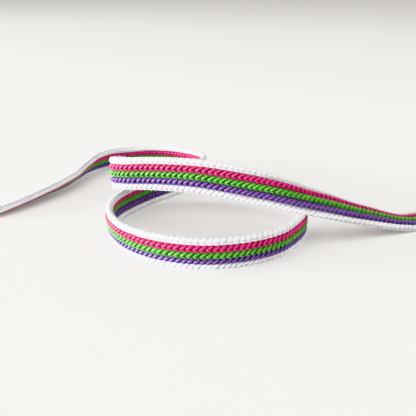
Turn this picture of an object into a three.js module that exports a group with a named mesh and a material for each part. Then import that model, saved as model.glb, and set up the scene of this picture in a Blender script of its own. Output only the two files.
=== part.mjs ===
// A cut length of flat five-row braid trim, standing on edge in an open loop.
// Millimetres, +Z up, +Y away from the viewer, the origin on the table in the middle of the outline.
import * as THREE from 'three';

// Sizes of the braid
const ROW_PITCH = 2.0; // from one row's centre line to the next, across the tape
const ROW_CREST = 1.0; // from the middle of the tape's thickness to a row's crest
const ROW_FLAT = 0.9; // width of the nearly flat crest of a row
const GROOVE_DEPTH = 0.42; // how far the groove between two rows lies under the crests
const EDGE_ROUND = 0.95; // from an edge row's centre line to the tape's edge
const EDGE_FLAT = 0.9; // thickness left at the rounded edge
const REST_HEIGHT = 0.9; // centre line of the lowest row above what it stands on

// Middle of the whole outline, measured from the middle of the loop's front
const OUTLINE_MIDDLE = { x: 0.84, y: 53.2 };

// How finely the length is divided
const SPAN_STEPS = 24; // samples between two places of the route
const TURN_LIMIT = 0.16; // radians a section may turn or tilt before the next one
const STEP_LIMIT = 7.0; // longest distance between two sections
const WIDTH_STEPS = 20; // steps taken from the lowest row to the top row

// Satin yarn, neither glossy nor chalky
const YARN_ROUGHNESS = 0.7;

// The five rows from the lower edge to the upper one
const ROW_COLOURS = ['#f2f1ee', '#6a3da0', '#4aa038', '#d92a68', '#f7f6f3'];

// Places along the braid, from the right-hand tail to the left-hand one.
// x, y: the lowest row's centre line, from the middle of the loop's front.
// lift: the lowest row's underside over the table.
// lean: tilt of the width from upright, in degrees, + toward the face with the V stitches.
// cup: bend over the width, in degrees, + hollow on the face with the V stitches.
const ROUTE_COLUMNS = ['x', 'y', 'lift', 'lean', 'cup'];
const ROUTE = [
  [77.0, 35.5, 0.0, -80, -36], // right-hand cut end
  [70.0, 32.0, 0.0, -80, -36],
  [63.5, 29.0, 0.3, -80, -36],
  [58.0, 26.5, 1.4, -77, -44],
  [49.7, 23.5, 3.5, -69, -58],
  [41.5, 20.5, 5.8, -60, -70],
  [33.8, 18.0, 8.1, -49, -84],
  [26.0, 15.4, 10.5, -38, -94], // over the right end of the loop
  [18.8, 14.2, 12.6, -29, -90],
  [11.8, 14.5, 14.0, -20, -76],
  [4.8, 15.8, 15.0, -11, -52],
  [-2.3, 18.0, 15.6, -5, -30], // highest part of the strip
  [-9.6, 21.5, 15.3, 0, -18],
  [-17.2, 26.0, 14.4, 3, -14],
  [-25.4, 31.6, 12.9, 5, -16],
  [-28.8, 36.5, 11.8, 0, -20], // turn at the left
  [-28.2, 42.5, 11.0, -24, -12],
  [-23.0, 49.0, 10.8, -42, 0], // over the loop's left-hand back
  [-12.0, 54.5, 8.2, -50, 0],
  [0.0, 56.5, 5.4, -45, 0],
  [12.0, 54.0, 3.6, -32, 0],
  [20.5, 49.6, 3.1, -20, 0],
  [26.0, 43.5, 3.1, -12, 0],
  [29.1, 36.4, 1.4, -4, 0],
  [29.0, 29.0, 0.0, 2, 0], // down on the table, at the right end of the loop
  [27.4, 21.0, 0.0, 4, -15],
  [24.0, 14.4, 0.0, 8, -30],
  [18.6, 7.6, 0.0, 13, -40],
  [12.8, 3.6, 0.0, 15, -40],
  [5.9, 0.8, 0.0, 15, -40],
  [0.0, 0.0, 0.0, 15, -40], // middle of the loop's front
  [-7.6, 1.2, 0.0, 15, -40],
  [-13.1, 3.6, 0.0, 15, -40],
  [-18.4, 7.4, 0.0, 15, -36],
  [-22.8, 12.2, 0.0, 14, -32],
  [-26.3, 18.4, 0.0, 11, -30],
  [-28.6, 27.0, 0.0, 6, -34], // left end of the loop
  [-28.6, 38.0, 0.0, -4, -50],
  [-23.0, 51.0, 0.0, -6, -50],
  [-12.0, 66.8, 0.0, 0, -30],
  [-4.0, 77.0, 0.0, 4, -5],
  [-1.0, 86.0, 0.0, 2, 0], // the turn at the back
  [-3.0, 93.0, 0.0, 0, 0],
  [-9.0, 100.0, 0.0, 4, 0],
  [-20.0, 107.0, 0.0, 15, 0],
  [-32.0, 108.0, 0.0, 26, 0],
  [-41.0, 103.5, 0.0, 26, 0], // where the braid starts to lie down
  [-46.3, 97.0, 0.0, 30, 0],
  [-51.0, 85.0, 0.0, 40, -6],
  [-54.6, 73.8, 0.0, 50, -12],
  [-57.8, 68.4, 0.0, 56, -18],
  [-63.6, 59.4, 0.0, 64, -28],
  [-69.4, 51.2, 0.0, 71, -38],
  [-75.0, 44.0, 0.0, 76, -44], // left-hand cut end
];

const column = (name) => ROUTE_COLUMNS.indexOf(name);
const radians = (degrees) => (degrees * Math.PI) / 180;

function distances(places) {
  const along = [0];
  for (let i = 1; i < places.length; i += 1) {
    const [x, y, lift] = places[i];
    const [x0, y0, lift0] = places[i - 1];
    along.push(along[i - 1] + Math.hypot(x - x0, y - y0, lift - lift0));
  }
  return along;
}

// Slope of every column at each place, weighted by the distances on both sides
function slopes(places, along) {
  const last = places.length - 1;
  return places.map((place, i) => place.map((value, c) => {
    const before = i > 0 ? (value - places[i - 1][c]) / (along[i] - along[i - 1]) : 0;
    const after = i < last ? (places[i + 1][c] - value) / (along[i + 1] - along[i]) : 0;
    if (i === 0) return after;
    if (i === last) return before;
    const back = along[i] - along[i - 1];
    const ahead = along[i + 1] - along[i];
    return (before * ahead + after * back) / (back + ahead);
  }));
}

// The route as a smooth curve through all of its places
function smoothRoute() {
  const along = distances(ROUTE);
  const slope = slopes(ROUTE, along);
  const samples = [];
  for (let i = 0; i < ROUTE.length - 1; i += 1) {
    const gap = along[i + 1] - along[i];
    for (let k = 0; k < SPAN_STEPS; k += 1) {
      const t = k / SPAN_STEPS;
      const startValue = 2 * t ** 3 - 3 * t ** 2 + 1;
      const startSlope = (t ** 3 - 2 * t ** 2 + t) * gap;
      const endValue = 3 * t ** 2 - 2 * t ** 3;
      const endSlope = (t ** 3 - t ** 2) * gap;
      samples.push(ROUTE[i].map((value, c) => (
        startValue * value + startSlope * slope[i][c]
        + endValue * ROUTE[i + 1][c] + endSlope * slope[i + 1][c]
      )));
    }
  }
  samples.push(ROUTE[ROUTE.length - 1]);
  return samples;
}

const lowestRow = (sample) => new THREE.Vector3(
  sample[column('x')] - OUTLINE_MIDDLE.x,
  sample[column('y')] - OUTLINE_MIDDLE.y,
  sample[column('lift')] + REST_HEIGHT,
);

function heading(samples, i) {
  const ahead = lowestRow(samples[Math.min(i + 1, samples.length - 1)]);
  const behind = lowestRow(samples[Math.max(i - 1, 0)]);
  return ahead.sub(behind).normalize();
}

// Sections stand close together in the bends and further apart between them
function sectionPlaces(samples) {
  const chosen = [0];
  let last = 0;
  for (let i = 1; i < samples.length - 1; i += 1) {
    const turn = heading(samples, i + 1).angleTo(heading(samples, last));
    const tilt = Math.abs(samples[i + 1][column('lean')] - samples[last][column('lean')]);
    const distance = lowestRow(samples[i + 1]).distanceTo(lowestRow(samples[last]));
    if (turn > TURN_LIMIT || radians(tilt) > TURN_LIMIT || distance > STEP_LIMIT) {
      chosen.push(i);
      last = i;
    }
  }
  chosen.push(samples.length - 1);
  return chosen;
}

// Centre, width direction and face direction of each row at one place
function rowFrames(samples, i) {
  const ahead = heading(samples, i);
  const side = new THREE.Vector3(0, 0, 1).cross(ahead).normalize();
  const upright = ahead.clone().cross(side);
  const lean = radians(samples[i][column('lean')]);
  const cup = radians(samples[i][column('cup')]);
  const widthAt = (share) => {
    const tilt = lean + cup * (share - 0.5);
    return upright.clone().multiplyScalar(Math.cos(tilt)).addScaledVector(side, Math.sin(tilt));
  };
  const lastRow = ROW_COLOURS.length - 1;
  const stepsPerRow = WIDTH_STEPS / lastRow;
  const centre = lowestRow(samples[i]);
  const frames = [];
  for (let step = 0; step <= WIDTH_STEPS; step += 1) {
    if (step % stepsPerRow === 0) {
      const width = widthAt(step / WIDTH_STEPS);
      frames.push({ centre: centre.clone(), width, face: width.clone().cross(ahead) });
    }
    centre.addScaledVector(widthAt((step + 0.5) / WIDTH_STEPS), ROW_PITCH / stepsPerRow);
  }
  return frames;
}

// One closed section: up the face with the V stitches, over the edge and down the back.
// Nothing goes under the table, so the edge that stands on it is pressed flat.
function sectionRing(frames) {
  const ring = [];
  const add = (row, across, out) => {
    const { centre, width, face } = frames[row];
    const point = centre.clone().addScaledVector(width, across).addScaledVector(face, out);
    point.z = Math.max(point.z, 0);
    ring.push({ point, row });
  };
  const addFace = (rows, direction, out) => {
    rows.forEach((row, i) => {
      add(row, (-direction * ROW_FLAT) / 2, out);
      add(row, (direction * ROW_FLAT) / 2, out);
      if (i < rows.length - 1) {
        add(row, (direction * ROW_PITCH) / 2, out - Math.sign(out) * GROOVE_DEPTH);
      }
    });
  };
  const rows = ROW_COLOURS.map((colour, row) => row);
  const top = rows.length - 1;
  add(0, -EDGE_ROUND, EDGE_FLAT / 2);
  addFace(rows, 1, ROW_CREST);
  add(top, EDGE_ROUND, EDGE_FLAT / 2);
  add(top, EDGE_ROUND, -EDGE_FLAT / 2);
  addFace(rows.slice().reverse(), -1, -ROW_CREST);
  add(0, -EDGE_ROUND, -EDGE_FLAT / 2);
  return ring;
}

// A cut end, closed over the points of its section
function endTriangles(frames, ring) {
  const middleRow = (frames.length - 1) / 2;
  const { centre, width, face } = frames[middleRow];
  const flat = ring.map(({ point }) => {
    const fromMiddle = point.clone().sub(centre);
    return new THREE.Vector2(fromMiddle.dot(face), fromMiddle.dot(width));
  });
  return THREE.ShapeUtils.triangulateShape(flat, []);
}

function buildBraid() {
  const samples = smoothRoute();
  const places = sectionPlaces(samples);
  const frames = places.map((i) => rowFrames(samples, i));
  const rings = frames.map(sectionRing);
  const count = rings[0].length;
  const byRow = ROW_COLOURS.map(() => []);
  for (let s = 0; s < rings.length - 1; s += 1) {
    for (let p = 0; p < count; p += 1) {
      const next = (p + 1) % count;
      const here = s * count;
      const there = here + count;
      const row = rings[s][next].row > rings[s][p].row ? rings[s][next].row : rings[s][p].row;
      byRow[row].push(here + p, here + next, there + next, here + p, there + next, there + p);
    }
  }
  const lastSection = (rings.length - 1) * count;
  endTriangles(frames[0], rings[0]).forEach(([a, b, c]) => {
    byRow[rings[0][a].row].push(a, c, b);
  });
  endTriangles(frames[frames.length - 1], rings[rings.length - 1]).forEach(([a, b, c]) => {
    byRow[rings[0][a].row].push(lastSection + a, lastSection + b, lastSection + c);
  });

  const geometry = new THREE.BufferGeometry();
  const points = rings.flatMap((ring) => ring.flatMap(({ point }) => point.toArray()));
  geometry.setAttribute('position', new THREE.Float32BufferAttribute(points, 3));
  geometry.setIndex(byRow.flat());
  let start = 0;
  byRow.forEach((indices, row) => {
    geometry.addGroup(start, indices.length, row);
    start += indices.length;
  });
  geometry.computeVertexNormals();
  const yarns = ROW_COLOURS.map((colour) => new THREE.MeshStandardMaterial({
    color: colour,
    roughness: YARN_ROUGHNESS,
    metalness: 0,
  }));
  const braid = new THREE.Mesh(geometry, yarns);
  braid.name = 'braid';
  return braid;
}

const group = new THREE.Group();
group.name = 'braid_trim';
group.add(buildBraid());

export default group;
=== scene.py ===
import math

import bpy
import numpy as np
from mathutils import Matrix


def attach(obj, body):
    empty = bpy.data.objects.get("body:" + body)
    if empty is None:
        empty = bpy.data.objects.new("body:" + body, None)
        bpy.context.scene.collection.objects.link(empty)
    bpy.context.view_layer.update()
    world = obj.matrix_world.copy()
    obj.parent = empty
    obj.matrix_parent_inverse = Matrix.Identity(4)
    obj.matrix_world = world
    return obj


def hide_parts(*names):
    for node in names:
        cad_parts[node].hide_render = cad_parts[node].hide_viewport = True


bl_info = {
    "name": "Braid Trim",
    "version": (1, 0, 0),
    "blender": (4, 5, 0),
    "location": "3D View > Sidebar > Braid Trim",
    "description": "Makes a looped length of flat yarn braid from five chains of V stitches",
    "category": "Add Mesh",
}

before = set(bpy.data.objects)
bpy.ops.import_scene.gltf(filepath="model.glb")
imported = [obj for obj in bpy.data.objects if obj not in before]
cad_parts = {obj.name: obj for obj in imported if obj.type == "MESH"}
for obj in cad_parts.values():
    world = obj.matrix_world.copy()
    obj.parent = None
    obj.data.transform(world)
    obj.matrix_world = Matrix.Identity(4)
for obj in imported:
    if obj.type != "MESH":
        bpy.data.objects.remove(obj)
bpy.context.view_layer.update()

MM = 0.001

# Middle of the whole outline, measured from the middle of the loop's front, in mm
OUTLINE_MIDDLE_X = 0.84
OUTLINE_MIDDLE_Y = 53.2

# Places along the braid, from the right-hand tail to the left-hand one, in mm and degrees.
# x, y: the lowest row's centre line, from the middle of the loop's front.
# lift: the lowest row's underside over the table.
# lean: tilt of the width from upright, + toward the face with the V stitches.
# cup: bend over the width, + hollow on the face with the V stitches.
ROUTE = (
    (77.0, 35.5, 0.0, -80, -36),  # right-hand cut end
    (70.0, 32.0, 0.0, -80, -36),
    (63.5, 29.0, 0.3, -80, -36),
    (58.0, 26.5, 1.4, -77, -44),
    (49.7, 23.5, 3.5, -69, -58),
    (41.5, 20.5, 5.8, -60, -70),
    (33.8, 18.0, 8.1, -49, -84),
    (26.0, 15.4, 10.5, -38, -94),  # over the right end of the loop
    (18.8, 14.2, 12.6, -29, -90),
    (11.8, 14.5, 14.0, -20, -76),
    (4.8, 15.8, 15.0, -11, -52),
    (-2.3, 18.0, 15.6, -5, -30),  # highest part of the strip
    (-9.6, 21.5, 15.3, 0, -18),
    (-17.2, 26.0, 14.4, 3, -14),
    (-25.4, 31.6, 12.9, 5, -16),
    (-28.8, 36.5, 11.8, 0, -20),  # turn at the left
    (-28.2, 42.5, 11.0, -24, -12),
    (-23.0, 49.0, 10.8, -42, 0),  # over the loop's left-hand back
    (-12.0, 54.5, 8.2, -50, 0),
    (0.0, 56.5, 5.4, -45, 0),
    (12.0, 54.0, 3.6, -32, 0),
    (20.5, 49.6, 3.1, -20, 0),
    (26.0, 43.5, 3.1, -12, 0),
    (29.1, 36.4, 1.4, -4, 0),
    (29.0, 29.0, 0.0, 2, 0),  # down on the table, at the right end of the loop
    (27.4, 21.0, 0.0, 4, -15),
    (24.0, 14.4, 0.0, 8, -30),
    (18.6, 7.6, 0.0, 13, -40),
    (12.8, 3.6, 0.0, 15, -40),
    (5.9, 0.8, 0.0, 15, -40),
    (0.0, 0.0, 0.0, 15, -40),  # middle of the loop's front
    (-7.6, 1.2, 0.0, 15, -40),
    (-13.1, 3.6, 0.0, 15, -40),
    (-18.4, 7.4, 0.0, 15, -36),
    (-22.8, 12.2, 0.0, 14, -32),
    (-26.3, 18.4, 0.0, 11, -30),
    (-28.6, 27.0, 0.0, 6, -34),  # left end of the loop
    (-28.6, 38.0, 0.0, -4, -50),
    (-23.0, 51.0, 0.0, -6, -50),
    (-12.0, 66.8, 0.0, 0, -30),
    (-4.0, 77.0, 0.0, 4, -5),
    (-1.0, 86.0, 0.0, 2, 0),  # the turn at the back
    (-3.0, 93.0, 0.0, 0, 0),
    (-9.0, 100.0, 0.0, 4, 0),
    (-20.0, 107.0, 0.0, 15, 0),
    (-32.0, 108.0, 0.0, 26, 0),
    (-41.0, 103.5, 0.0, 26, 0),  # where the braid starts to lie down
    (-46.3, 97.0, 0.0, 30, 0),
    (-51.0, 85.0, 0.0, 40, -6),
    (-54.6, 73.8, 0.0, 50, -12),
    (-57.8, 68.4, 0.0, 56, -18),
    (-63.6, 59.4, 0.0, 64, -28),
    (-69.4, 51.2, 0.0, 71, -38),
    (-75.0, 44.0, 0.0, 76, -44),  # left-hand cut end
)

# The route is drawn with this many points from one place to the next, and then measured at
# marks this many mm apart. The braid's width bends in this many steps from row to row.
SPAN_STEPS = 60
MARK_SPACING = 0.25
STEPS_PER_ROW = 5

# The upper leg of a V stitch, from its point to its foot in the groove between two rows:
# mm along the row behind the stitch's point, degrees round the row from the middle of its V
# face, mm from the row's centre line to the middle of the leg, and the leg's half width and
# half thickness in mm, along the row's skin and through it.
LEG = (
    (-0.30, 2, 0.40, 0.12, 0.16),
    (-0.20, 5, 0.60, 0.26, 0.30),
    (-0.02, 12, 0.72, 0.36, 0.37),
    (0.24, 25, 0.76, 0.40, 0.38),
    (0.52, 40, 0.77, 0.41, 0.38),
    (0.84, 57, 0.77, 0.41, 0.37),
    (1.15, 75, 0.74, 0.39, 0.36),
    (1.44, 93, 0.67, 0.34, 0.34),
    (1.68, 111, 0.50, 0.18, 0.22),
)

# The leg toward the lower edge is its mirror image
LOWER_LEG = tuple((behind, -around, *rest) for behind, around, *rest in LEG)

# The bar that closes the same stitch on the back, from one groove to the other, given as a leg is
BAR = (
    (0.98, 102, 0.44, 0.30, 0.20),
    (0.94, 120, 0.58, 0.52, 0.34),
    (0.90, 145, 0.63, 0.62, 0.38),
    (0.88, 180, 0.65, 0.65, 0.39),
    (0.86, 215, 0.63, 0.62, 0.38),
    (0.82, 240, 0.58, 0.52, 0.34),
    (0.78, 258, 0.44, 0.30, 0.20),
)

# Rings along a leg and along a bar, and sides round each of them and round a core
LEG_RINGS, LEG_SIDES = 9, 10
BAR_RINGS, BAR_SIDES = 7, 8
CORE_SIDES = 8

# Mm from ring to ring of the cores and of the joining threads
CORE_SPACING = 1.2
GROUND_SPACING = 0.9

# Mm that the stitches' feet, their points and the cores keep off the cut ends
FOOT_MARGIN = 0.2
POINT_MARGIN = 0.4
CORE_MARGIN = 0.1

# Each chain has rolled on itself toward the lower edge, most in the right-hand tail:
# mm along the braid, degrees from the middle of the V face to the points of the Vs.
CHAIN_ROLL = (
    (0, -64),
    (30, -62),
    (50, -54),
    (70, -42),
    (90, -28),
    (130, -26),
    (190, -8),
    (235, -8),
    (265, -22),
    (481, -22),
)

# In the right-hand tail, which is drawn out to lie down, the strands spread flat and lie over
# each other: mm along the braid, times the leg's half width, times its half thickness.
SPREAD = (
    (0, 1.3, 0.72),
    (40, 1.25, 0.76),
    (70, 1.0, 1.0),
    (481, 1.0, 1.0),
)

# The five rows from the lower edge to the upper one: piece, yarn, the record's slot, and how
# plump the strands are. The undyed yarn is loftier, so its stitches close up.
ROWS = (
    ("lower_white_row", "white", "white_yarn", 1.15),
    ("purple_row", "purple", "purple_yarn", 1.0),
    ("green_row", "green", "green_yarn", 1.0),
    ("pink_row", "pink", "pink_yarn", 1.0),
    ("upper_white_row", "white", "white_yarn", 1.6),
)

# Length of one V stitch, read between marks: mm along the braid, mm of stitch. The yarn is drawn
# together where the strip twists down, and drawn out where it is highest and turns.
STITCH_LENGTHS = (
    (0, 1.62),
    (50, 1.60),
    (70, 1.50),
    (82, 1.66),
    (92, 1.82),
    (112, 1.84),
    (135, 1.66),
    (200, 1.60),
    (481, 1.60),
)

# How far a stitch may differ from its neighbours: mm along the row, share of its half width,
# and degrees round the row
UNEVEN_PLACE = 0.08
UNEVEN_PLUMPNESS = 0.08
UNEVEN_TURN = 3.5

# The yarn's lines of filament: mm from one to the next, degrees from the yarn's own direction,
# and the mm round one strand. The wave texture's bands are 2 pi / 20 apart at a scale of 1.
FILAMENT_LINES = 0.25
FILAMENT_TWIST = 16
YARN_GIRTH = 2.5
WAVE_PERIOD = 2 * math.pi / 20

# Painted shade deep between the stitches: how much of its light a yarn keeps there, painted into
# its colour
PAINTED_SHADE_LEVEL = {"white": 0.9, "purple": 0.22, "green": 0.2, "pink": 0.28}

# Mm from a row's centre line where a yarn's painted shade is full, and where it has none
FULL_SHADE_RADIUS = 0.55
NO_SHADE_RADIUS = 1.02

# Share of a yarn's light that spreads inside it, which softens the stitches of the undyed rows
GLOW = {"white": 0.7, "purple": 0.0, "green": 0.0, "pink": 0.0}

# Half of the table's side, in m
TABLE_REACH = 6.0

# Lights aimed at the braid: name, place and size in m, watts, and whether it casts a shadow.
# A low wide window stands on the left, and the rest comes from over the front of the table,
# most of it so scattered that it casts none.
LIGHTS = (
    ("window", (-1.50, -0.15, 0.17), (1.8, 0.34), 82.0, True),
    ("ceiling", (0.2, -0.60, 1.10), (1.4, 1.4), 4.0, True),
    ("room_fill", (0.2, -0.80, 1.25), (1.4, 1.4), 9.5, False),
)
DAYLIGHT = (0.98, 1.0, 1.0)
ROOM_COLOUR = (1, 0.965, 0.94, 1)
ROOM_STRENGTH = 0.66

# The camera looks down at the braid by so many degrees, from 173 mm in front of the loop
CAMERA_PLACE = (-0.0008, -0.2264, 0.0733)
CAMERA_DOWN = 18
LENS_MM = 60.6
SENSOR_MM = 36.0

# Sockets of a mix node that mixes colours
MIX_FROM, MIX_TO, MIXED = 6, 7, 2


def linear(hex_colour):
    """An sRGB hex colour as linear values for a shader."""
    parts = [int(hex_colour[i:i + 2], 16) / 255 for i in (1, 3, 5)]
    return [p / 12.92 if p <= 0.04045 else ((p + 0.055) / 1.055) ** 2.4 for p in parts]


class BraidSizes(bpy.types.PropertyGroup):
    """Sizes of the braid."""

    row_pitch: bpy.props.FloatProperty(
        name="Row pitch",
        description="From one row's centre line to the next",
        default=0.002,
        unit="LENGTH",
    )
    rest_height: bpy.props.FloatProperty(
        name="Rest height",
        description="The lowest row's centre line above what it stands on",
        default=0.0009,
        unit="LENGTH",
    )
    core_half_width: bpy.props.FloatProperty(
        name="Core half width",
        description="Half width of the yarn that runs inside each row, across the braid",
        default=0.001,
        unit="LENGTH",
    )
    core_half_thickness: bpy.props.FloatProperty(
        name="Core half thickness",
        description="Half thickness of the yarn that runs inside each row, through the braid",
        default=0.0005,
        unit="LENGTH",
    )
    ground_thickness: bpy.props.FloatProperty(
        name="Ground thickness",
        description="Thickness of the joining threads that hold the rows together",
        default=0.0003,
        unit="LENGTH",
    )


class BraidColours(bpy.types.PropertyGroup):
    """Colours of the yarns, the thread and the table."""

    white: bpy.props.FloatVectorProperty(
        name="White yarn",
        description="Colour of both edge rows",
        subtype="COLOR",
        default=linear("#e9eaec"),
    )
    purple: bpy.props.FloatVectorProperty(
        name="Purple yarn",
        description="Colour of the row beside the lower edge",
        subtype="COLOR",
        default=linear("#6a4890"),
    )
    green: bpy.props.FloatVectorProperty(
        name="Green yarn",
        description="Colour of the middle row",
        subtype="COLOR",
        default=linear("#54a034"),
    )
    pink: bpy.props.FloatVectorProperty(
        name="Pink yarn",
        description="Colour of the row beside the upper edge",
        subtype="COLOR",
        default=linear("#ca2670"),
    )
    # The joining thread's dark grey is partly painted shade: it shows only in the grooves between
    # the rows and stands for their shade as well as for the thread
    joining_thread: bpy.props.FloatVectorProperty(
        name="Joining thread",
        description="Colour of the thread between the rows",
        subtype="COLOR",
        default=linear("#6c666a"),
    )
    table: bpy.props.FloatVectorProperty(
        name="Table",
        description="Colour of the pale table",
        subtype="COLOR",
        default=linear("#f0f0ee"),
    )


def hermite(t, start, end, leave, arrive):
    """Places at shares t of a smooth curve from start to end, with its slopes there."""
    return (
        (2 * t**3 - 3 * t**2 + 1) * start
        + (t**3 - 2 * t**2 + t) * leave
        + (3 * t**2 - 2 * t**3) * end
        + (t**3 - t**2) * arrive
    )


def smooth_table(table, rings):
    """A table's rows as a smooth curve, read at even steps from the first row to the last."""
    table = np.array(table, float)
    at = np.linspace(0, 1, rings) * (len(table) - 1)
    low = np.minimum(at.astype(int), len(table) - 2)
    slope = np.gradient(table, axis=0)
    t = (at - low)[:, None]
    return hermite(t, table[low], table[low + 1], slope[low], slope[low + 1])


def smooth_route():
    """The route as a smooth curve through all its places."""
    places = np.array(ROUTE, float)
    gaps = np.linalg.norm(np.diff(places[:, :3], axis=0), axis=1)
    rise = np.diff(places, axis=0) / gaps[:, None]
    slope = np.empty_like(places)
    slope[0], slope[-1] = rise[0], rise[-1]
    back, ahead = gaps[:-1, None], gaps[1:, None]
    slope[1:-1] = (rise[:-1] * ahead + rise[1:] * back) / (back + ahead)
    t = np.linspace(0, 1, SPAN_STEPS, endpoint=False)[:, None]
    spans = [
        hermite(t, places[i], places[i + 1], gap * slope[i], gap * slope[i + 1])
        for i, gap in enumerate(gaps)
    ]
    return np.vstack([*spans, places[-1:]])


def unit(vectors):
    """The same directions, each of length 1."""
    return vectors / np.linalg.norm(vectors, axis=-1, keepdims=True)


def circle(sides):
    """Angles at even steps once round."""
    return np.linspace(0, 2 * np.pi, sides, endpoint=False)


class Tape:
    """The braid's rows in space: centre, width direction and face direction, each read along it."""

    def __init__(self, sizes):
        route = smooth_route()
        steps = np.linalg.norm(np.diff(route[:, :3], axis=0), axis=1)
        along = np.insert(np.cumsum(steps), 0, 0)
        self.length = float(along[-1])
        self.marks = np.linspace(0, self.length, int(self.length / MARK_SPACING) + 1)
        x, y, lift, lean, cup = (np.interp(self.marks, along, values) for values in route.T)
        base = np.stack(
            [x - OUTLINE_MIDDLE_X, y - OUTLINE_MIDDLE_Y, lift + sizes.rest_height / MM],
            axis=1,
        )
        heading = unit(np.gradient(base, axis=0))
        side = unit(np.cross((0, 0, 1), heading))
        upright = np.cross(heading, side)
        lean, cup = np.radians(lean)[:, None], np.radians(cup)[:, None]

        # Direction of the width at a share of the way from the lowest row to the highest
        def width_at(share):
            tilt = lean + cup * (share - 0.5)
            return upright * np.cos(tilt) + side * np.sin(tilt)

        last = STEPS_PER_ROW * (len(ROWS) - 1)
        rise = sizes.row_pitch / MM / STEPS_PER_ROW
        centre = base
        self.centres, self.widths, self.faces = [], [], []
        for step in range(last + 1):
            if step % STEPS_PER_ROW == 0:
                width = width_at(step / last)
                self.centres.append(centre)
                self.widths.append(width)
                self.faces.append(unit(np.cross(width, heading)))
            centre = centre + width_at((step + 0.5) / last) * rise

    def read(self, values, at):
        return np.stack([np.interp(at, self.marks, values[:, i]) for i in range(3)], axis=-1)

    def around(self, row, at, angle, out):
        """Points round a row's centre line, and the directions that point out of it there."""
        centre = self.read(self.centres[row], at)
        width = self.read(self.widths[row], at)
        face = self.read(self.faces[row], at)
        outward = unit(face * np.cos(angle)[..., None] + width * np.sin(angle)[..., None])
        return centre + outward * out[..., None], outward


def stitch_points(start, end):
    """Where the points of the V stitches would fall along an even row."""
    marks, lengths = zip(*STITCH_LENGTHS)
    at = [start]
    while at[-1] < end:
        at.append(at[-1] + float(np.interp(at[-1], marks, lengths)))
    return np.array(at[:-1])


def uneven_stitches(points, plump, seed):
    """Where a row's stitches fall, how plump each is, and how many degrees it has slipped round."""
    place, plumpness, turn = np.random.default_rng(seed).uniform(-1, 1, (3, len(points)))
    return (
        points + UNEVEN_PLACE * place,
        plump * (1 + UNEVEN_PLUMPNESS * plumpness),
        UNEVEN_TURN * turn,
    )


def lay_strands(tape, row, stitches, shape, rings, sides):
    """Closed plump strands, one in each stitch, that follow a table round the row."""
    points, plump, slip = stitches
    behind, around, out, half_width, half_thick = smooth_table(shape, rings).T
    at = points[:, None] - behind
    marks, wider, thinner = zip(*SPREAD)
    half_width = half_width * plump[:, None] * np.interp(at, marks, wider)
    half_thick = half_thick * np.interp(at, marks, thinner)
    angle = np.radians(around + slip[:, None] + np.interp(at, *zip(*CHAIN_ROLL)))
    middle, outward = tape.around(row, at, angle, np.broadcast_to(out, at.shape))
    heading = unit(np.gradient(middle, axis=1))
    across = unit(np.cross(heading, outward))
    outward = np.cross(across, heading)
    turn = circle(sides)
    ring = (
        middle[:, :, None, :]
        + across[:, :, None, :] * (half_width[:, :, None] * np.cos(turn))[..., None]
        + outward[:, :, None, :] * (half_thick[:, :, None] * np.sin(turn))[..., None]
    )
    steps = np.diff(middle, axis=1, prepend=middle[:, :1])
    travelled = np.cumsum(np.linalg.norm(steps, axis=2), axis=1)
    centre = tape.read(tape.centres[row], at)[:, :, None, :]
    height = np.linalg.norm(ring - centre, axis=-1)
    return ring, np.broadcast_to(travelled[:, :, None], ring.shape[:3]), turn, height


def lay_core(tape, row, sizes, plump):
    """The flattened yarn that runs inside a row, as one strand from cut end to cut end."""
    at = np.linspace(CORE_MARGIN, tape.length - CORE_MARGIN, int(tape.length / CORE_SPACING))
    turn = circle(CORE_SIDES)
    half_width = sizes.core_half_width / MM
    half_thick = sizes.core_half_thickness / MM * plump
    out = 1 / np.hypot(np.cos(turn) / half_thick, np.sin(turn) / half_width)
    at, angle, out = np.broadcast_arrays(at[:, None], turn, out)
    ring, _ = tape.around(row, at, angle, out)
    return ring[None], at[None], turn, out


def lay_ground(tape, sizes):
    """The joining threads, as one thin flat strand through the middle of all the rows."""
    half = sizes.ground_thickness / MM / 2
    at = np.linspace(0, tape.length, int(tape.length / GROUND_SPACING))
    front, back = [], []
    for row in range(len(ROWS)):
        middle, outward = tape.around(row, at, np.zeros_like(at), np.zeros_like(at))
        front.append(middle + outward * half)
        back.append(middle - outward * half)
    ring = np.stack(front + back[::-1], axis=1)[None]
    travelled = np.broadcast_to(at[None, :, None], ring.shape[:3])
    return ring, travelled, circle(ring.shape[2]), np.zeros(ring.shape[:3])


def join_strands(strands):
    """Many ringed strands as one mesh: its points, faces, yarn coordinates and heights.

    A strand's yarn coordinates are the mm along it and the share of the way round it. A height
    is the distance in mm from the row's centre line, which the yarn's material uses as the mask
    of its painted shade between the stitches.
    """
    vertices, faces, flat, heights = [], [], [], []
    first = 0
    for ring, travelled, turn, height in strands:
        count, rings, sides, _ = ring.shape
        vertices.append(ring.reshape(-1, 3))
        girth = np.broadcast_to(turn / (2 * np.pi), ring.shape[:3])
        flat.append(np.stack([travelled, girth], axis=-1).reshape(-1, 2))
        heights.append(np.ravel(height))
        number = np.arange(count * rings * sides).reshape(count, rings, sides) + first
        here, there = number[:, :-1], number[:, 1:]
        faces.extend(
            np.stack([here, np.roll(here, -1, 2), np.roll(there, -1, 2), there], axis=-1)
            .reshape(-1, 4)
            .tolist()
        )
        faces.extend(number[:, 0, ::-1].tolist())
        faces.extend(number[:, -1].tolist())
        first += count * rings * sides
    return np.concatenate(vertices), faces, np.concatenate(flat), np.concatenate(heights)


def rest_on_table(points):
    """Yarn that would go under the table is pressed flat on it."""
    points = points.copy()
    points[..., 2] = np.maximum(points[..., 2], 0.0)
    return points


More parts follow.
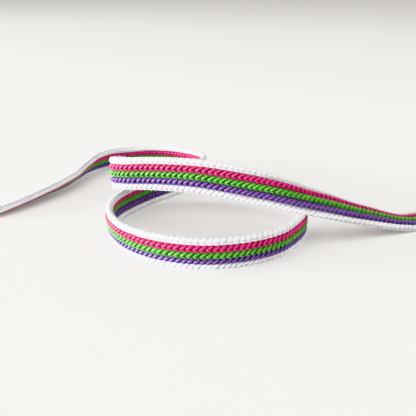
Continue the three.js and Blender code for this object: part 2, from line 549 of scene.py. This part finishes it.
def make_piece(name, points, faces, flat, heights, material, slot):
    """One piece of the braid as an object, which rests on the table where it reaches it."""
    mesh = bpy.data.meshes.new(name)
    mesh.from_pydata((rest_on_table(points) * MM).tolist(), [], faces)
    corners = np.empty(len(mesh.loops), dtype=np.int32)
    mesh.loops.foreach_get("vertex_index", corners)
    yarn_map = mesh.uv_layers.new(name="yarn")
    yarn_map.data.foreach_set("uv", flat[corners].astype(np.float32).ravel())
    # The height is the mask for the yarn's painted shade deep between the stitches
    height = mesh.attributes.new("height", "FLOAT", "POINT")
    height.data.foreach_set("value", heights.astype(np.float32))
    mesh.shade_smooth()
    mesh.materials.append(material)
    piece = bpy.data.objects.new(name, mesh)
    bpy.context.collection.objects.link(piece)
    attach(piece, "root")
    return piece


def add_node(material, kind, links=(), **settings):
    """One shader node with its settings, input values and links."""
    node = material.node_tree.nodes.new(kind)
    for name, value in settings.items():
        if name in node.inputs.keys():
            node.inputs[name].default_value = value
        else:
            setattr(node, name, value)
    for source, output, name in links:
        material.node_tree.links.new(source.outputs[output], node.inputs[name])
    return node


def new_material(name):
    """A material with no nodes yet, and the same one for both rows of one yarn."""
    material = bpy.data.materials.get(name) or bpy.data.materials.new(name)
    material.use_nodes = True
    material.node_tree.nodes.clear()
    return material


def finish_material(material, shader):
    """The material, with its shader joined to its surface."""
    add_node(material, "ShaderNodeOutputMaterial", [(shader, "BSDF", "Surface")])
    return material


def filament_polyester(name, colour, painted_shade_level, glow):
    """Filament polyester yarn, dyed and softly twisted.

    It gives the eye a plump satin thread: bright where it faces the light, with fine lines of
    filament along it, and painted shade that makes it much darker in colour where it dives
    under the next stitch.
    """
    material = new_material(name)
    yarn = add_node(material, "ShaderNodeUVMap", uv_map="yarn")
    # Filaments 0.02 mm thick are too fine to show, so they are drawn as lines 0.25 mm apart
    bands_per_mm = WAVE_PERIOD / FILAMENT_LINES
    twist = add_node(
        material,
        "ShaderNodeMapping",
        [(yarn, "UV", "Vector")],
        Rotation=(0, 0, math.radians(FILAMENT_TWIST)),
        Scale=(bands_per_mm, bands_per_mm * YARN_GIRTH, 1),
    )
    filaments = add_node(
        material,
        "ShaderNodeTexWave",
        [(twist, "Vector", "Vector")],
        bands_direction="Y",
        Scale=1.0,
        Distortion=1.2,
        Detail=2.0,
    )
    bump = add_node(
        material,
        "ShaderNodeBump",
        [(filaments, "Fac", "Height")],
        Strength=0.25,
        Distance=0.05 * MM,
    )
    # Painted shade deep between the stitches: the colour there is raised to this power and dimmed,
    # as light that gets out from between the stitches has met the dye nearly twice
    meetings = 1.9
    height = add_node(material, "ShaderNodeAttribute", attribute_name="height")
    openness = add_node(
        material,
        "ShaderNodeMapRange",
        [(height, "Fac", "Value")],
        **{"From Min": FULL_SHADE_RADIUS, "From Max": NO_SHADE_RADIUS, "To Min": 0.0, "To Max": 1.0},
    )
    # Painted shade: the colour goes from the darkened deep colour near the row's centre line to the
    # yarn's own colour in the open
    shade = add_node(
        material,
        "ShaderNodeMix",
        [(openness, "Result", "Factor")],
        data_type="RGBA",
    )
    shade.inputs[MIX_FROM].default_value = (*(c**meetings * painted_shade_level for c in colour), 1)
    shade.inputs[MIX_TO].default_value = (*colour, 1)
    # The dye takes unevenly over a few stitches, about 5 mm
    place = add_node(material, "ShaderNodeTexCoord")
    dye = add_node(
        material,
        "ShaderNodeTexNoise",
        [(place, "Object", "Vector")],
        Scale=1 / (5 * MM),
        Detail=3.0,
    )
    uneven = add_node(
        material,
        "ShaderNodeMapRange",
        [(dye, "Fac", "Value")],
        **{"From Min": 0.3, "From Max": 0.7, "To Min": 0.9, "To Max": 1.05},
    )
    tint = add_node(
        material,
        "ShaderNodeHueSaturation",
        [(shade, MIXED, "Color"), (uneven, "Result", "Value")],
    )
    shader = add_node(
        material,
        "ShaderNodeBsdfPrincipled",
        [(tint, "Color", "Base Color"), (bump, "Normal", "Normal")],
        **{
            "Roughness": 0.36,
            "IOR": 1.5,
            "Specular IOR Level": 0.55,
            "Sheen Weight": 0.08,
            "Sheen Roughness": 0.4,
            "Subsurface Weight": glow,
            "Subsurface Radius": (1, 1, 1),
            "Subsurface Scale": 0.9 * MM,
        },
    )
    return finish_material(material, shader)


def matt_grain(name, colour, roughness, grain_mm, detail, strength, depth_mm):
    """A matt surface of one colour, with a grain of so many mm that stands so deep."""
    material = new_material(name)
    place = add_node(material, "ShaderNodeTexCoord")
    grain = add_node(
        material,
        "ShaderNodeTexNoise",
        [(place, "Object", "Vector")],
        Scale=1 / (grain_mm * MM),
        Detail=detail,
    )
    bump = add_node(
        material,
        "ShaderNodeBump",
        [(grain, "Fac", "Height")],
        Strength=strength,
        Distance=depth_mm * MM,
    )
    shader = add_node(
        material,
        "ShaderNodeBsdfPrincipled",
        [(bump, "Normal", "Normal")],
        **{"Base Color": (*colour, 1), "Roughness": roughness},
    )
    return finish_material(material, shader)


def spun_thread(name, colour):
    """Spun polyester sewing thread, with a fuzz of lint: only a dull line between the rows, whose
    dark grey is partly painted shade of the grooves.
    """
    return matt_grain(
        name, colour, roughness=0.9, grain_mm=1 / 3, detail=2.0, strength=0.4, depth_mm=0.1
    )


def painted_board(name, colour):
    """Board painted with a roller: matt and nearly even, so it takes soft shadows."""
    return matt_grain(
        name, colour, roughness=0.8, grain_mm=16.7, detail=3.0, strength=0.1, depth_mm=0.5
    )


class BRAID_OT_rows(bpy.types.Operator):
    """Make the five rows, each a chain of V stitches round a core of the same yarn"""

    bl_idname = "braid.rows"
    bl_label = "Rows of V Stitches"

    def execute(self, context):
        sizes = context.scene.braid_sizes
        tape = Tape(sizes)
        foot = max(behind for behind, *_ in LEG)
        points = stitch_points(foot + FOOT_MARGIN, tape.length - POINT_MARGIN)
        for row, (piece, yarn, slot, plump) in enumerate(ROWS):
            stitches = uneven_stitches(points, plump, seed=row + 1)
            strands = [
                lay_core(tape, row, sizes, plump),
                lay_strands(tape, row, stitches, LEG, LEG_RINGS, LEG_SIDES),
                lay_strands(tape, row, stitches, LOWER_LEG, LEG_RINGS, LEG_SIDES),
                lay_strands(tape, row, stitches, BAR, BAR_RINGS, BAR_SIDES),
            ]
            material = filament_polyester(
                f"{yarn.capitalize()}_filament_polyester",
                getattr(context.scene.braid_colours, yarn),
                PAINTED_SHADE_LEVEL[yarn],
                GLOW[yarn],
            )
            made = make_piece(piece, *join_strands(strands), material, slot)
            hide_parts("braid")
        return {"FINISHED"}


class BRAID_OT_ground(bpy.types.Operator):
    """Make the joining threads, as one thin tape through the middle of all five rows"""

    bl_idname = "braid.ground"
    bl_label = "Joining Threads"

    def execute(self, context):
        sizes = context.scene.braid_sizes
        tape = Tape(sizes)
        thread = spun_thread(
            "Polyester_joining_thread", context.scene.braid_colours.joining_thread
        )
        mesh_parts = join_strands([lay_ground(tape, sizes)])
        ground = make_piece("joining_threads", *mesh_parts, thread, "white_yarn")
        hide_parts("braid")
        return {"FINISHED"}


def hang_light(name, place, size, power, casts_shadow):
    """A rectangular light that faces the braid."""
    light = bpy.data.lights.new(name, "AREA")
    light.shape = "RECTANGLE"
    light.size, light.size_y = size
    light.energy = power
    light.color = DAYLIGHT
    light.use_shadow = casts_shadow
    lamp = bpy.data.objects.new(name, light)
    lamp.location = place
    away = math.hypot(place[0], place[1])
    turn = math.atan2(-place[1], -place[0]) - math.pi / 2
    lamp.rotation_euler = (math.atan2(away, place[2]), 0, turn)
    bpy.context.collection.objects.link(lamp)


class BRAID_OT_stage(bpy.types.Operator):
    """Make the pale table, the window light and the room's own light, and the camera"""

    bl_idname = "braid.stage"
    bl_label = "Table, Light and Camera"

    def execute(self, context):
        scene = context.scene
        mesh = bpy.data.meshes.new("table")
        corners = ((-1, -1), (1, -1), (1, 1), (-1, 1))
        mesh.from_pydata(
            [(x * TABLE_REACH, y * TABLE_REACH, 0) for x, y in corners], [], [(0, 1, 2, 3)]
        )
        mesh.materials.append(painted_board("Painted_board", scene.braid_colours.table))
        table = bpy.data.objects.new("table", mesh)
        context.collection.objects.link(table)

        world = bpy.data.worlds.new("room")
        world.use_nodes = True
        background = world.node_tree.nodes["Background"]
        background.inputs["Color"].default_value = ROOM_COLOUR
        background.inputs["Strength"].default_value = ROOM_STRENGTH
        scene.world = world
        for light in LIGHTS:
            hang_light(*light)
        scene.view_settings.view_transform = "Khronos PBR Neutral"

        camera = bpy.data.cameras.new("camera")
        camera.sensor_width = SENSOR_MM
        camera.lens = LENS_MM
        camera.clip_start = 0.01
        stand = bpy.data.objects.new("camera", camera)
        stand.location = CAMERA_PLACE
        stand.rotation_euler = (math.radians(90 - CAMERA_DOWN), 0, 0)
        context.collection.objects.link(stand)
        scene.camera = stand
        return {"FINISHED"}


class BRAID_PT_panel(bpy.types.Panel):
    """Lists the braid's pieces and settings"""

    bl_idname = "BRAID_PT_panel"
    bl_label = "Braid Trim"
    bl_space_type = "VIEW_3D"
    bl_region_type = "UI"
    bl_category = "Braid Trim"

    def draw(self, context):
        layout = self.layout
        for group in (context.scene.braid_sizes, context.scene.braid_colours):
            for name in group.__annotations__:
                layout.prop(group, name)
        for operator in OPERATORS:
            layout.operator(operator.bl_idname)


OPERATORS = (BRAID_OT_rows, BRAID_OT_ground, BRAID_OT_stage)
CLASSES = (BraidSizes, BraidColours, *OPERATORS, BRAID_PT_panel)


def register():
    for cls in CLASSES:
        bpy.utils.register_class(cls)
    bpy.types.Scene.braid_sizes = bpy.props.PointerProperty(type=BraidSizes)
    bpy.types.Scene.braid_colours = bpy.props.PointerProperty(type=BraidColours)


def unregister():
    del bpy.types.Scene.braid_colours
    del bpy.types.Scene.braid_sizes
    for cls in reversed(CLASSES):
        bpy.utils.unregister_class(cls)


def main():
    """Makes the braid and its stage."""
    register()
    bpy.ops.braid.rows()
    bpy.ops.braid.ground()
    bpy.ops.braid.stage()


if __name__ == "__main__":
    main()
